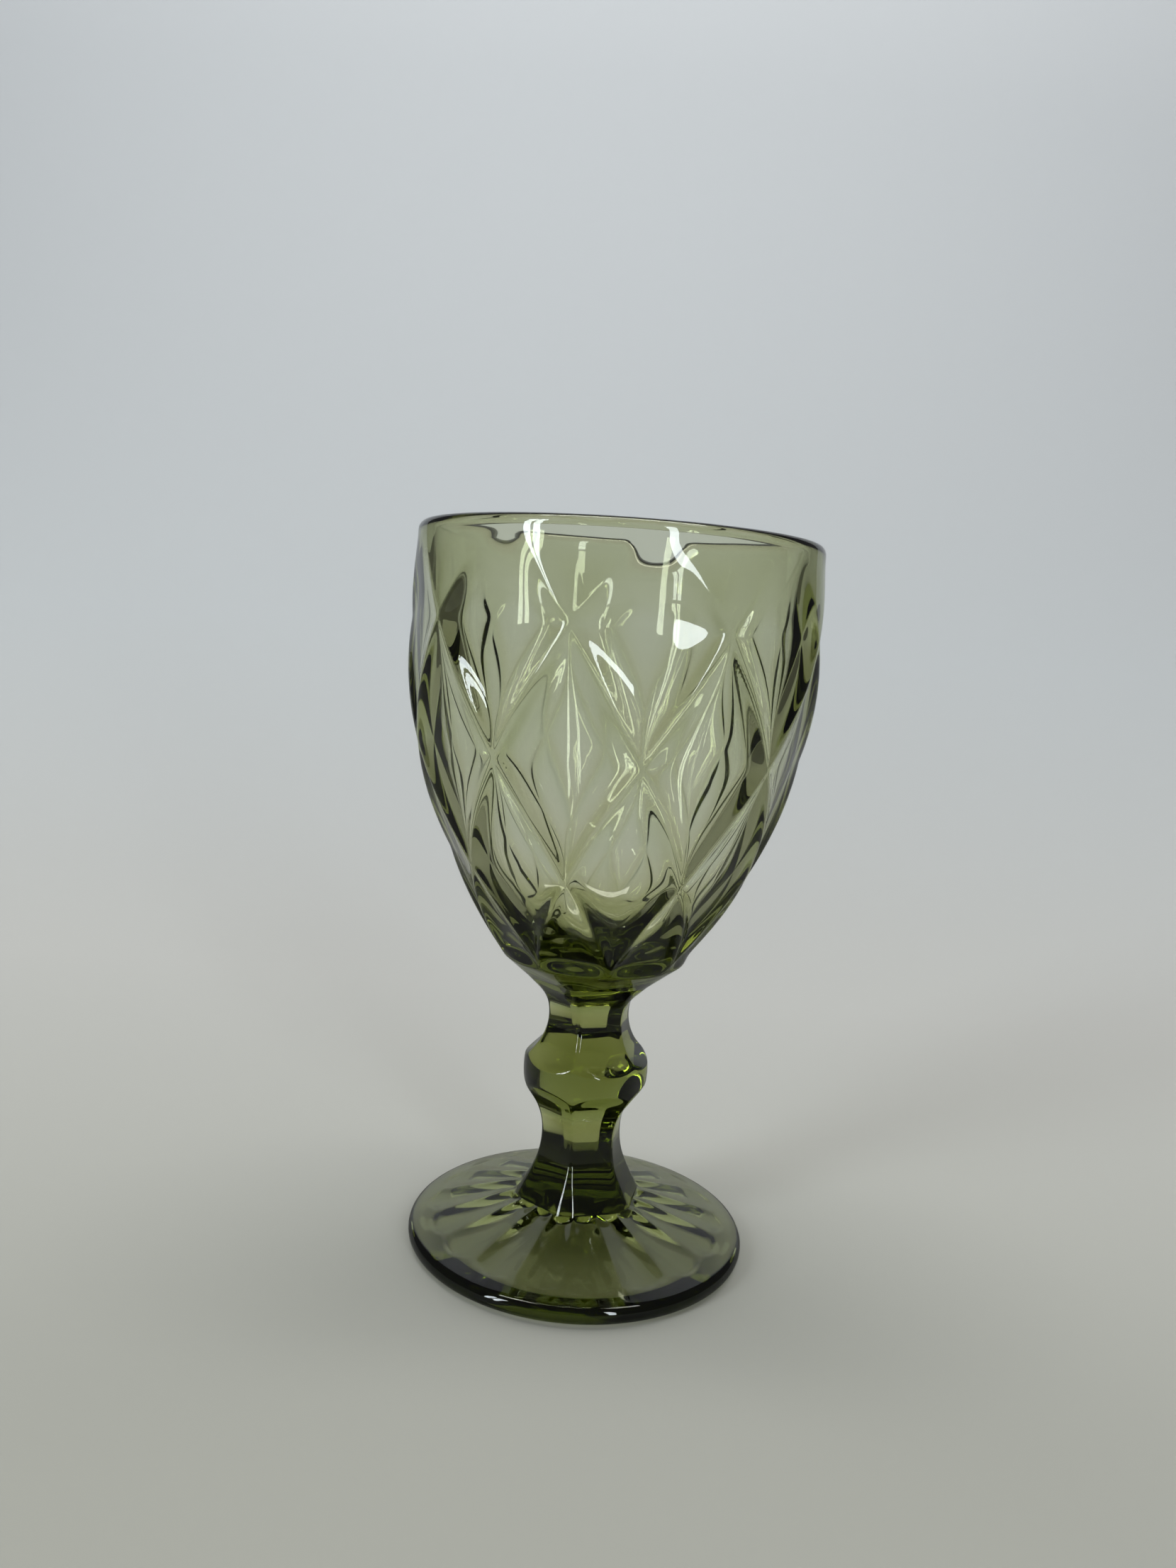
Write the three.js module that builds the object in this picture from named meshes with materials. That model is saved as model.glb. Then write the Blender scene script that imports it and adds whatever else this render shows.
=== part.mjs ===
// Pressed glass goblet: a bowl with a raised diamond lattice, a six-sided stem with a knop and a fluted foot.
// Millimetres, +Z up. The origin is the centre of the face that it rests on, and a stem ridge faces -Y.
import * as THREE from 'three';

// Lengths of the five stretches, from the table up
const footHeight = 12;
const lowerStemLength = 20;
const knopLength = 20;
const upperStemLength = 13.5;
const bowlHeight = 102.5;

// Foot
const footRadius = 40.25;
const footEdgeSectionRadius = 2.2;
const restingRingWidth = 6.5;
const footHollowDepth = 4.5;
const collarRadius = 15.2;
const collarDrop = 0.4;
const fluteCount = 18;
const fluteDepth = 0.5;
const fluteStartLength = 1.2;
const fluteEndMargin = 4.2;
const fluteEndBulge = 1.7;
const fluteEndLength = 1.8;

// Stem: distances from the axis to its six ridges, heights within each stretch, and how round the section is,
// from 0 for sharp ridges to 1 for a circle. The stem swells from each waist along a round scoop, and the scoops
// cut six facets into the knop, which is a rounded body.
const stemSides = 6;
const footJointRadius = 15.05;
const lowerWaistRadius = 9.83;
const lowerWaistHeight = 15;
const lowerScoopRadius = 15.3;
const knopRadius = 14.85;
const knopHeight = 10.7;
const knopHalfLength = 18;
const knopBlend = 1.2;
const upperScoopRadius = 11.6;
const upperWaistRadius = 9.95;
const upperWaistHeight = 4;
const bowlJointRadius = 15.6;
const stemRoundness = 0.22;
const flaredRoundness = 0.75;

// Bowl outside
const shoulderRadius = 21.6;
const shoulderHeight = 5.1;
const bellyRadius = 47;
const bellyHeight = 78.5;
const rimRadius = 45.84;

// Bowl inside
const rimWall = 3.6;
const lipHeight = 2.2;
const bellyWall = 4.8;
const bowlBaseThickness = 7;
const cupDrop = 0.3;
const cupWidth = 0.8;

// Lattice: its rows of crossings are shares of the wall from the shoulder to the rim, the lowest row first. The
// ridges' softness and flanks are shares of the lattice's spacing.
const latticeRepeats = 9;
const latticeDepth = 2.2;
const ridgeSoftness = 0.02;
const flankWidth = 0.15;
const dishCorner = 3;
const crossingShares = [0.025, 0.238, 0.503, 0.784];
const rimBandHeight = 3;
const upperFadeLength = 17;
const lowerFadeLength = 4;

// Facets round the axis and along the curves
const stepsPerHalfCell = 4;
const rowsAboveLastCrossing = 2;
const innerWallSteps = 9;
const innerTaperSteps = 2;
const lipSteps = 4;
const stemSegments = 36;
const stemCurveSteps = 5;
const knopSteps = 12;
const stepsPerFlute = 4;
const edgeSteps = 5;
const hollowSteps = 4;

// Heights of the joints and of the main edges
const knopFloor = footHeight + lowerStemLength;
const upperStemFloor = knopFloor + knopLength;
const bowlFloor = upperStemFloor + upperStemLength;
const lowerWaistLevel = footHeight + lowerWaistHeight;
const upperWaistLevel = upperStemFloor + upperWaistHeight;
const rimLevel = bowlFloor + bowlHeight;
const shoulderLevel = bowlFloor + shoulderHeight;
const bellyLevel = bowlFloor + bellyHeight;

const glass = { color: 0x6f7a3c, roughness: 0.04, metalness: 0, transparent: true, opacity: 0.55 };

// Distance from the axis to a rounded polygon; one of its ridges stands at angle 0
function ridgedRadius(angle, ridgeRadius, roundness, sides) {
  const half = Math.PI / sides;
  const fromRidge = Math.abs(angle - 2 * half * Math.round(angle / (2 * half)));
  const corner = ridgeRadius * roundness;
  const centre = ridgeRadius - corner;
  const flatStart = Math.atan2(corner * Math.sin(half), centre + corner * Math.cos(half));
  if (fromRidge >= flatStart) {
    return (centre * Math.cos(half) + corner) / Math.cos(half - fromRidge);
  }
  const across = centre * Math.sin(fromRidge);
  return centre * Math.cos(fromRidge) + Math.sqrt(corner * corner - across * across);
}

// A ring of points round the axis; radiusAt gives the distance from the axis at each angle
function ring(segments, radiusAt, heightAt) {
  const points = [];
  for (let i = 0; i < segments; i += 1) {
    const angle = (2 * Math.PI * i) / segments;
    const radius = radiusAt(angle);
    points.push(new THREE.Vector3(radius * Math.sin(angle), -radius * Math.cos(angle), heightAt(angle)));
  }
  return points;
}

function roundRing(segments, radius, height) {
  return ring(segments, () => radius, () => height);
}

// A closed body through rings of equal length. A fan round a point on the axis closes each end, and the
// diagonals cross over from quad to quad, so that slanting ridges run along them.
function closedLoft(rings, startHeight, endHeight) {
  const segments = rings[0].length;
  const lastRing = (rings.length - 1) * segments;
  const startPole = rings.length * segments;
  const endPole = startPole + 1;
  const positions = rings.flat().flatMap((point) => point.toArray());
  positions.push(0, 0, startHeight, 0, 0, endHeight);
  const index = [];
  for (let i = 0; i < segments; i += 1) {
    const next = (i + 1) % segments;
    index.push(startPole, next, i);
    for (let row = 0; row + 1 < rings.length; row += 1) {
      const low = row * segments;
      const high = low + segments;
      if ((row + i) % 2 === 0) {
        index.push(low + i, low + next, high + next, low + i, high + next, high + i);
      } else {
        index.push(low + i, low + next, high + i, low + next, high + next, high + i);
      }
    }
    index.push(endPole, lastRing + i, lastRing + next);
  }
  const geometry = new THREE.BufferGeometry();
  geometry.setAttribute('position', new THREE.Float32BufferAttribute(positions, 3));
  geometry.setIndex(index);
  geometry.computeVertexNormals();
  return geometry;
}

function glassPiece(name, geometry) {
  const mesh = new THREE.Mesh(geometry, new THREE.MeshStandardMaterial(glass));
  mesh.name = name;
  return mesh;
}

// A curve in the plane of radius and height
function curve(start, startHandle, endHandle, end) {
  const corners = [start, startHandle, endHandle, end];
  return new THREE.CubicBezierCurve(...corners.map(([radius, height]) => new THREE.Vector2(radius, height)));
}

// A stretch of the stem along the points of its ridges; roundnessAt gives the section's roundness at each height
function stemStretch(profile, roundnessAt) {
  const rings = profile.map((point) => {
    const section = (angle) => ridgedRadius(angle, point.x, roundnessAt(point.y), stemSides);
    return ring(stemSegments, section, () => point.y);
  });
  return closedLoft(rings, profile[0].y, profile[profile.length - 1].y);
}

// Distances from the axis to the ridges of the two scoops, which meet their waists upright
function lowerScoop(height) {
  const distance = height - lowerWaistLevel;
  const depth = Math.sqrt(Math.max(lowerScoopRadius ** 2 - distance ** 2, 0));
  return lowerWaistRadius + lowerScoopRadius - depth;
}

function upperScoop(height) {
  const distance = upperWaistLevel - height;
  const depth = Math.sqrt(Math.max(upperScoopRadius ** 2 - distance ** 2, 0));
  return upperWaistRadius + upperScoopRadius - depth;
}

function scoopPoints(scoop, start, end) {
  return Array.from({ length: stemCurveSteps + 1 }, (_, step) => {
    const height = THREE.MathUtils.lerp(start, end, step / stemCurveSteps);
    return new THREE.Vector2(scoop(height), height);
  });
}

// Lower stem: a trumpet from the collar up to its waist, then the start of the knop's swelling
function lowerStemGeometry() {
  const flareRun = footJointRadius - lowerWaistRadius;
  const rise = lowerWaistLevel - footHeight;
  const flare = curve(
    [footJointRadius, footHeight],
    [footJointRadius - 0.45 * flareRun, footHeight + 0.32 * rise],
    [lowerWaistRadius, lowerWaistLevel - 0.45 * rise],
    [lowerWaistRadius, lowerWaistLevel],
  );
  const roundnessAt = (height) => {
    const share = THREE.MathUtils.smoothstep(height, footHeight, lowerWaistLevel - 0.3 * rise);
    return THREE.MathUtils.lerp(flaredRoundness, stemRoundness, share);
  };
  const swelling = scoopPoints(lowerScoop, lowerWaistLevel, knopFloor).slice(1);
  return stemStretch([...flare.getPoints(stemCurveSteps), ...swelling], roundnessAt);
}

// Knop: a rounded body with the two scoops cut into it, and a blend along the cuts
function knopGeometry() {
  const middle = knopFloor + knopHeight;
  const rings = [];
  for (let step = 0; step <= knopSteps; step += 1) {
    const height = THREE.MathUtils.lerp(knopFloor, upperStemFloor, step / knopSteps);
    const share = (height - middle) / knopHalfLength;
    const body = knopRadius * Math.sqrt(Math.max(1 - share ** 2, 0));
    const scoop = Math.min(lowerScoop(height), upperScoop(height));
    const radiusAt = (angle) => {
      const cut = ridgedRadius(angle, scoop, stemRoundness, stemSides);
      const overlap = Math.max(knopBlend - Math.abs(body - cut), 0) / knopBlend;
      return Math.min(body, cut) - (overlap ** 2 * knopBlend) / 4;
    };
    rings.push(ring(stemSegments, radiusAt, () => height));
  }
  return closedLoft(rings, knopFloor, upperStemFloor);
}

// Upper stem: a waist, then a flare that grows rounder as it reaches the bowl
function upperStemGeometry() {
  const flareLength = bowlFloor - upperWaistLevel;
  const flareRun = bowlJointRadius - upperWaistRadius;
  const flare = curve(
    [upperWaistRadius, upperWaistLevel],
    [upperWaistRadius, upperWaistLevel + 0.52 * flareLength],
    [bowlJointRadius - 0.55 * flareRun, bowlFloor - 0.32 * flareLength],
    [bowlJointRadius, bowlFloor],
  );
  const roundnessAt = (height) => {
    const share = THREE.MathUtils.smoothstep(height, upperWaistLevel, bowlFloor);
    return THREE.MathUtils.lerp(stemRoundness, flaredRoundness, share);
  };
  const taper = scoopPoints(upperScoop, upperStemFloor, upperWaistLevel).slice(0, -1);
  return stemStretch([...taper, ...flare.getPoints(stemCurveSteps)], roundnessAt);
}

// Foot: a domed hollow inside a flat resting ring, a rounded edge, and flutes that rise to the collar
function footGeometry() {
  const segments = fluteCount * stepsPerFlute;
  const edgeCentre = footRadius - footEdgeSectionRadius;
  const hollowRadius = edgeCentre - restingRingWidth;
  const collarLevel = footHeight - collarDrop;
  const fluteEnd = footRadius - fluteEndMargin;
  const domeRadius = (hollowRadius ** 2 + footHollowDepth ** 2) / (2 * footHollowDepth);
  const rings = [];
  for (let step = 1; step <= hollowSteps; step += 1) {
    const radius = (hollowRadius * step) / hollowSteps;
    const level = footHollowDepth - domeRadius + Math.sqrt(domeRadius ** 2 - radius ** 2);
    rings.push(roundRing(segments, radius, level));
  }

  // The edge's section is an arc that ends where the sloping top touches it
  const slope = Math.atan2(collarLevel - 2 * footEdgeSectionRadius, edgeCentre - collarRadius);
  const arcEnd = Math.PI / 2 - slope;
  for (let step = 0; step <= edgeSteps; step += 1) {
    const turn = THREE.MathUtils.lerp(-Math.PI / 2, arcEnd, step / edgeSteps);
    const radius = edgeCentre + footEdgeSectionRadius * Math.cos(turn);
    rings.push(roundRing(segments, radius, footEdgeSectionRadius * (1 + Math.sin(turn))));
  }

  const topRadius = edgeCentre + footEdgeSectionRadius * Math.cos(arcEnd);
  const topLevel = footEdgeSectionRadius * (1 + Math.sin(arcEnd));
  const fluteRadii = [
    fluteEnd,
    fluteEnd - fluteEndLength,
    fluteEnd - fluteEndLength - fluteEndBulge,
    THREE.MathUtils.lerp(fluteEnd, collarRadius, 0.45),
    collarRadius + fluteStartLength,
    collarRadius + fluteStartLength / 2,
  ];
  for (const radius of fluteRadii) {
    const level = THREE.MathUtils.mapLinear(radius, topRadius, collarRadius, topLevel, collarLevel);
    const heightAt = (angle) => {
      const across = (angle * fluteCount) / (2 * Math.PI);
      const fromMiddle = 2 * Math.abs(across - Math.round(across));
      const hollow = 1 - fromMiddle * fromMiddle;
      const end = fluteEnd - fluteEndBulge * (1 - hollow);
      const fadeOut = THREE.MathUtils.clamp((end - radius) / fluteEndLength, 0, 1);
      const fadeIn = THREE.MathUtils.clamp((radius - collarRadius) / fluteStartLength, 0, 1);
      return level - fluteDepth * hollow * fadeOut * fadeIn;
    };
    rings.push(ring(segments, () => radius, heightAt));
  }

  for (const [ridgeRadius, level] of [[collarRadius, collarLevel], [footJointRadius, footHeight]]) {
    const section = (angle) => ridgedRadius(angle, ridgeRadius, flaredRoundness, stemSides);
    rings.push(ring(segments, section, () => level));
  }
  return closedLoft(rings, footHollowDepth, footHeight);
}

// How far the bowl's outer wall lies inside the lattice's ridges at an angle and height. The dishes' rows are
// counted from the shoulder, and the row that would stand above the last crossings is left out.
function latticeHollow(angle, height) {
  const wall = rimLevel - shoulderLevel;
  const crossings = crossingShares.map((share) => shoulderLevel + share * wall);
  let step = 0;
  while (step + 2 < crossings.length && height > crossings[step + 1]) {
    step += 1;
  }
  const climb = Math.max(0, step + (height - crossings[step]) / (crossings[step + 1] - crossings[step]));
  const across = (angle * latticeRepeats) / Math.PI + 1;
  const [first, second] = [(across + climb) / 2, (across - climb) / 2];
  if (Math.floor(first) - Math.floor(second) >= crossings.length) {
    return 0;
  }
  const flank = (place) => {
    const fromRidge = Math.hypot(place - Math.round(place), ridgeSoftness) - ridgeSoftness;
    return Math.max(1 - Math.exp(-fromRidge / flankWidth), 1e-6) / (1 - Math.exp(-0.5 / flankWidth));
  };
  const dish = ((flank(first) ** -dishCorner + flank(second) ** -dishCorner) / 2) ** (-1 / dishCorner);
  const bandFoot = rimLevel - rimBandHeight;
  const fadeIn = THREE.MathUtils.smoothstep(height, shoulderLevel, shoulderLevel + lowerFadeLength);
  const fadeOut = 1 - THREE.MathUtils.smoothstep(height, bandFoot - upperFadeLength, bandFoot);
  return latticeDepth * dish * fadeIn * fadeOut;
}

// Bowl: a cone under the shoulder, the latticed wall, a plain band with a rounded lip, and a smooth inside
function bowlGeometry() {
  const segments = latticeRepeats * 2 * stepsPerHalfCell;
  const wall = rimLevel - shoulderLevel;
  const lipRadius = rimWall / 2;
  const lipLevel = rimLevel - lipHeight;
  const belly = bellyLevel - shoulderLevel;
  const lowerWall = curve(
    [shoulderRadius, shoulderLevel],
    [shoulderRadius + 0.515 * (bellyRadius - shoulderRadius), shoulderLevel + 0.25 * belly],
    [bellyRadius, bellyLevel - 0.415 * belly],
    [bellyRadius, bellyLevel],
  );
  const upperWall = curve(
    [bellyRadius, bellyLevel],
    [bellyRadius, THREE.MathUtils.lerp(bellyLevel, lipLevel, 0.5)],
    [rimRadius, THREE.MathUtils.lerp(bellyLevel, lipLevel, 0.75)],
    [rimRadius, lipLevel],
  );
  const outline = [lowerWall, upperWall].flatMap((part) => part.getPoints(60));
  const wallRadius = (height) => {
    const above = Math.max(1, outline.findIndex((point) => point.y >= height));
    const [low, high] = [outline[above - 1], outline[above]];
    return THREE.MathUtils.mapLinear(height, low.y, high.y, low.x, high.x);
  };

  // Cone, from the rounded hexagon of the stem to the round shoulder
  const rings = [];
  for (const share of [0, 0.5]) {
    const ridgeRadius = THREE.MathUtils.lerp(bowlJointRadius, shoulderRadius, share);
    const roundness = THREE.MathUtils.lerp(flaredRoundness, 1, share);
    const level = THREE.MathUtils.lerp(bowlFloor, shoulderLevel, share);
    const section = (angle) => ridgedRadius(angle, ridgeRadius, roundness, stemSides);
    rings.push(ring(segments, section, () => level));
  }

  // Latticed wall, with its rows set so that the ridges pass through their points
  const heights = [shoulderLevel, shoulderLevel + 0.5 * crossingShares[0] * wall];
  const rowsPerStep = stepsPerHalfCell;
  const lastCrossing = crossingShares.length - 1;
  for (let row = 0; row <= lastCrossing * rowsPerStep + rowsAboveLastCrossing; row += 1) {
    const step = Math.min(Math.floor(row / rowsPerStep), lastCrossing - 1);
    const rise = crossingShares[step + 1] - crossingShares[step];
    heights.push(shoulderLevel + wall * (crossingShares[step] + rise * (row / rowsPerStep - step)));
  }
  heights.push(rimLevel - rimBandHeight);
  for (const height of heights) {
    rings.push(ring(segments, (angle) => wallRadius(height) - latticeHollow(angle, height), () => height));
  }

  // Lip
  const lipCentre = rimRadius - lipRadius;
  for (let step = 0; step <= lipSteps; step += 1) {
    const turn = (Math.PI * step) / lipSteps;
    const radius = lipCentre + lipRadius * Math.cos(turn);
    rings.push(roundRing(segments, radius, lipLevel + lipHeight * Math.sin(turn)));
  }

  // Inside, from the lip down to the axis
  const innerFloor = bowlFloor + bowlBaseThickness;
  const innerBelly = bellyRadius - bellyWall;
  const innerTaper = curve(
    [rimRadius - rimWall, lipLevel],
    [rimRadius - rimWall, THREE.MathUtils.lerp(lipLevel, bellyLevel, 0.25)],
    [innerBelly, THREE.MathUtils.lerp(lipLevel, bellyLevel, 0.5)],
    [innerBelly, bellyLevel],
  );
  const innerCup = curve(
    [innerBelly, bellyLevel],
    [innerBelly, bellyLevel - cupDrop * (bellyLevel - innerFloor)],
    [cupWidth * innerBelly, innerFloor],
    [0, innerFloor],
  );
  const innerPoints = [
    ...innerTaper.getPoints(innerTaperSteps).slice(1),
    ...innerCup.getPoints(innerWallSteps).slice(1, -1),
  ];
  for (const point of innerPoints) {
    rings.push(roundRing(segments, point.x, point.y));
  }
  return closedLoft(rings, bowlFloor, innerFloor);
}

const goblet = new THREE.Group();
goblet.name = 'goblet';
goblet.add(
  glassPiece('foot', footGeometry()),
  glassPiece('lower_stem', lowerStemGeometry()),
  glassPiece('knop', knopGeometry()),
  glassPiece('upper_stem', upperStemGeometry()),
  glassPiece('bowl', bowlGeometry()),
);

export default goblet;
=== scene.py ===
# A pressed green glass goblet, built round its construction model: bowl, stem in three stretches, and foot.
# Metres, +Z up, in the construction model's own frame.
import math

import bpy
import numpy as np
from mathutils import Matrix, Vector


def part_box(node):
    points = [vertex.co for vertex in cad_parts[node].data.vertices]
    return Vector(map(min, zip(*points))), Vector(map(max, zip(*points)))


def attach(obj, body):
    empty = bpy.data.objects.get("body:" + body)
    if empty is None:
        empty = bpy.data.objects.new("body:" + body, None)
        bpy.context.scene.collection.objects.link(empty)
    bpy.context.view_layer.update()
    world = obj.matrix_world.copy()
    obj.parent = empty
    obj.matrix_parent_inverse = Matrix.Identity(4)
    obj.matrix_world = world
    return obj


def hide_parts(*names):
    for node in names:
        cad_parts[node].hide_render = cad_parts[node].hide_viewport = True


bl_info = {
    "name": "Pressed Glass Goblet",
    "version": (1, 0, 0),
    "blender": (4, 5, 0),
    "location": "View3D > Sidebar > Goblet",
    "description": "Builds a green pressed-glass goblet round its construction model",
    "category": "Add Mesh",
}

MM = 0.001
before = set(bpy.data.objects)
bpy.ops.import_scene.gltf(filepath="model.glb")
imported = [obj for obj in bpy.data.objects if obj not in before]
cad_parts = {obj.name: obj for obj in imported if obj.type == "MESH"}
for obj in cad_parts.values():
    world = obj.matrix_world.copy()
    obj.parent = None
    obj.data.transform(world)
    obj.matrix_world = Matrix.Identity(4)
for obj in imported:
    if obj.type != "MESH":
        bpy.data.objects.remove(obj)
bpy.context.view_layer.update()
# Between the end faces of two pieces that meet
SEAM_GAP = 0.02 * MM
# Width of the narrow row of faces next to a seam, and how near the seam's level a face on it lies
SEAM_ROW = 0.02 * MM
ON_SEAM = 0.1 * SEAM_ROW
# Points closer than this are merged
SMALLEST = 0.002 * MM
# Between the goblet and the sweep's floor
FLOOR_GAP = 0.1 * MM
# Steps round each stretch of the stem, and from the axis to the edge of any end face
ROUND_STEPS = 360
CAP_STEPS = 4
# Faces that meet at less than this are shaded as one
SMOOTH_ANGLE = math.radians(40)
# The waves that pressing leaves: how many to a metre, and how high at full strength
WAVES_PER_METRE = 90.0
WAVE_HEIGHT = 0.4 * MM
# Height in pixels of the picture that the focal length is given for
PICTURE_HEIGHT = 2212


def seam_levels(node):
    """Heights of a node's floor and top"""
    low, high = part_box(node)
    return low.z, high.z


def cap_levels(node):
    """Heights of a piece's end faces, each half a seam gap inside its node"""
    low, high = seam_levels(node)
    return low + SEAM_GAP / 2, high - SEAM_GAP / 2


class GlassFinish(bpy.types.PropertyGroup):
    """The glass of every piece"""

    absorbed: bpy.props.FloatVectorProperty(
        name="Absorbed light",
        description="Red, green and blue light that a metre of the glass takes off, as a rate",
        size=3,
        default=(58.0, 53.0, 111.0),
    )
    ior: bpy.props.FloatProperty(name="IOR", description="How strongly the glass bends light", default=1.52)
    waviness: bpy.props.FloatProperty(
        name="Waviness",
        description="Strength of the faint waves that pressing leaves in the surface",
        default=0.06,
        subtype="FACTOR",
    )


class BowlSizes(bpy.types.PropertyGroup):
    """Sizes of the bowl"""

    rim_radius: bpy.props.FloatProperty(
        name="Rim radius", description="Outer radius of the lip", default=45.84 * MM, unit="LENGTH"
    )
    belly_radius: bpy.props.FloatProperty(
        name="Belly radius", description="Outer radius at the widest level", default=47.0 * MM, unit="LENGTH"
    )
    belly_height: bpy.props.FloatProperty(
        name="Belly height", description="Widest level above the bowl's seam",
        default=78.5 * MM, unit="LENGTH",
    )
    shoulder_radius: bpy.props.FloatProperty(
        name="Shoulder radius", description="Radius where the wall meets its cone",
        default=21.6 * MM, unit="LENGTH",
    )
    shoulder_height: bpy.props.FloatProperty(
        name="Shoulder height", description="The shoulder's level above the seam",
        default=5.1 * MM, unit="LENGTH",
    )
    seam_radius: bpy.props.FloatProperty(
        name="Seam radius", description="Distance from the axis to the ridges at the seam",
        default=15.6 * MM, unit="LENGTH",
    )
    rim_wall: bpy.props.FloatProperty(
        name="Wall at the rim", description="Thickness of the wall under the lip",
        default=3.6 * MM, unit="LENGTH",
    )
    lip_height: bpy.props.FloatProperty(
        name="Lip height", description="Height of the lip's round edge", default=2.2 * MM, unit="LENGTH"
    )
    belly_wall: bpy.props.FloatProperty(
        name="Wall at the belly", description="Thickness under a ridge at the widest level",
        default=4.8 * MM, unit="LENGTH",
    )
    base_thickness: bpy.props.FloatProperty(
        name="Base thickness", description="Glass between the seam and the bowl's inside",
        default=7.0 * MM, unit="LENGTH",
    )
    cup_drop: bpy.props.FloatProperty(
        name="Cup drop", description="How far the inside stays upright, as a share of its depth",
        default=0.30, subtype="FACTOR",
    )
    cup_width: bpy.props.FloatProperty(
        name="Cup width", description="How broad the inside's round bottom is",
        default=0.80, subtype="FACTOR",
    )
    lattice_depth: bpy.props.FloatProperty(
        name="Lattice depth", description="How deep each diamond is dished", default=2.2 * MM, unit="LENGTH"
    )
    ridge_softness: bpy.props.FloatProperty(
        name="Ridge softness", description="Half-width of the rounded ridges, as a share of a cell",
        default=0.05, subtype="FACTOR",
    )
    flank_width: bpy.props.FloatProperty(
        name="Flank width",
        description="How far a ridge's flank reaches into its diamond, as a share of a cell",
        default=0.15, subtype="FACTOR",
    )
    lower_fade: bpy.props.FloatProperty(
        name="Lower fade", description="Height over which the hollows start", default=4.0 * MM, unit="LENGTH"
    )
    upper_fade: bpy.props.FloatProperty(
        name="Upper fade", description="Height over which the hollows run out",
        default=17.0 * MM, unit="LENGTH",
    )
    dish_corner: bpy.props.FloatProperty(
        name="Dish corner", description="How sharply a diamond's flanks meet, from 2, round, upwards",
        default=3.0,
    )
    band_height: bpy.props.FloatProperty(
        name="Rim band", description="Height of the plain band under the rim",
        default=3.0 * MM, unit="LENGTH",
    )


class StemSizes(bpy.types.PropertyGroup):
    """Sizes of the three stretches of the stem"""

    foot_seam_radius: bpy.props.FloatProperty(
        name="Radius at the foot", description="Ridge distance where the stem meets the foot",
        default=15.05 * MM, unit="LENGTH",
    )
    lower_waist_radius: bpy.props.FloatProperty(
        name="Lower waist", description="Ridge distance at the lower waist", default=9.83 * MM, unit="LENGTH"
    )
    lower_waist_height: bpy.props.FloatProperty(
        name="Lower waist height", description="The waist's level above the foot",
        default=15.0 * MM, unit="LENGTH",
    )
    lower_scoop: bpy.props.FloatProperty(
        name="Lower scoop", description="Radius of the arc that rises from the lower waist into the knop",
        default=15.3 * MM, unit="LENGTH",
    )
    knop_radius: bpy.props.FloatProperty(
        name="Knop radius", description="Radius of the round knop at its widest",
        default=14.85 * MM, unit="LENGTH",
    )
    knop_height: bpy.props.FloatProperty(
        name="Knop height", description="The widest level above the knop's floor",
        default=10.7 * MM, unit="LENGTH",
    )
    knop_half_length: bpy.props.FloatProperty(
        name="Knop half length", description="Half the length of the round form that the scoops cut into",
        default=18.0 * MM, unit="LENGTH",
    )
    knop_blend: bpy.props.FloatProperty(
        name="Knop blend", description="How softly the scoops meet the round knop",
        default=1.2 * MM, unit="LENGTH",
    )
    upper_scoop: bpy.props.FloatProperty(
        name="Upper scoop", description="Radius of the arc that drops from the upper waist into the knop",
        default=11.6 * MM, unit="LENGTH",
    )
    upper_waist_radius: bpy.props.FloatProperty(
        name="Upper waist", description="Ridge distance at the upper waist", default=9.95 * MM, unit="LENGTH"
    )
    upper_waist_height: bpy.props.FloatProperty(
        name="Upper waist height", description="The waist's level above the knop",
        default=4.0 * MM, unit="LENGTH",
    )
    roundness: bpy.props.FloatProperty(
        name="Ridge roundness", description="0 for sharp ridges, 1 for a round section",
        default=0.12, subtype="FACTOR",
    )
    flared_roundness: bpy.props.FloatProperty(
        name="Flare roundness", description="The same at the foot's and the bowl's seam",
        default=0.35, subtype="FACTOR",
    )


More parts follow.
